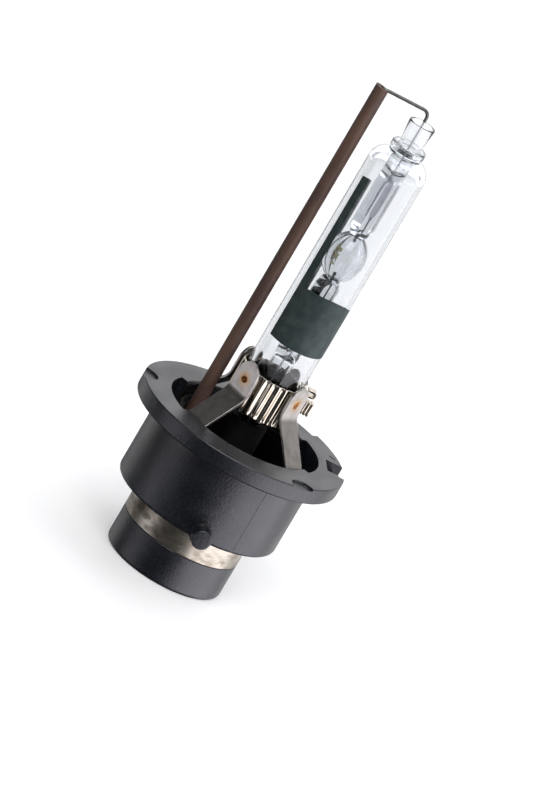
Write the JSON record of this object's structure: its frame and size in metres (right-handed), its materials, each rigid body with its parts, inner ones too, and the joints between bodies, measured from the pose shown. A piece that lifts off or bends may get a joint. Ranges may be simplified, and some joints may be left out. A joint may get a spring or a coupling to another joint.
{
  "type": "headlight bulb",
  "caption": "Gas-discharge headlight bulb: round black bayonet base with a contact ring, strapped clear glass envelope with light mask, and a ceramic-sleeved return wire.",
  "frame": {"origin": "centre of the bottom face of the base", "axes": "+Z along the lamp axis towards the open glass tip, return wire at -X, bayonet pegs at +Y and -Y"},
  "size_m": [0.0319, 0.032, 0.077],
  "materials": {
    "base_plastic": "moulded black PPS, satin with a faint grain",
    "cup_plastic": "moulded black plastic, matt",
    "nickel_silver": "rolled nickel silver, light tarnish",
    "contact_brass": "turned brass",
    "cement": "grey lamp cement, rough",
    "quartz": "clear fused quartz",
    "mask_coating": "fired green-black coating, satin",
    "tungsten": "drawn tungsten, dull",
    "molybdenum": "drawn molybdenum, dull grey",
    "metal_salts": "condensed metal halide salts, crystalline",
    "clamp_nickel": "bright nickel-plated strip",
    "strap_steel": "rolled stainless strip, satin",
    "weld": "resistance weld with heat tint",
    "brown_ceramic": "extruded brown ceramic, unglazed",
    "return_metal": "dark nickel wire"
  },
  "bodies": {
    "root": {"base_housing": "base_plastic", "lower_barrel": "base_plastic", "contact_ring": "nickel_silver", "ring_terminal": "contact_brass", "centre_contact": "contact_brass", "inner_cup": "cup_plastic", "stub_sleeve": "cup_plastic", "potting_fill": "cement", "anchor_ring": "strap_steel", "outer_bulb": "quartz", "light_mask": "mask_coating", "arc_tube": "quartz", "upper_electrode": "tungsten", "lower_electrode": "tungsten", "upper_foil": "molybdenum", "lower_foil": "molybdenum", "upper_lead": "molybdenum", "lower_lead": "molybdenum", "salt_fill": "metal_salts", "clamp_sleeve": "clamp_nickel", "clamp_lock": "clamp_nickel", "clamp_crimp": "clamp_nickel", "strap_front_left": "strap_steel", "strap_front_right": "strap_steel", "strap_rear_left": "strap_steel", "strap_rear_right": "strap_steel", "weld_spots": "weld", "ceramic_tube": "brown_ceramic", "return_wire": "return_metal"}
  },
  "joints": []
}
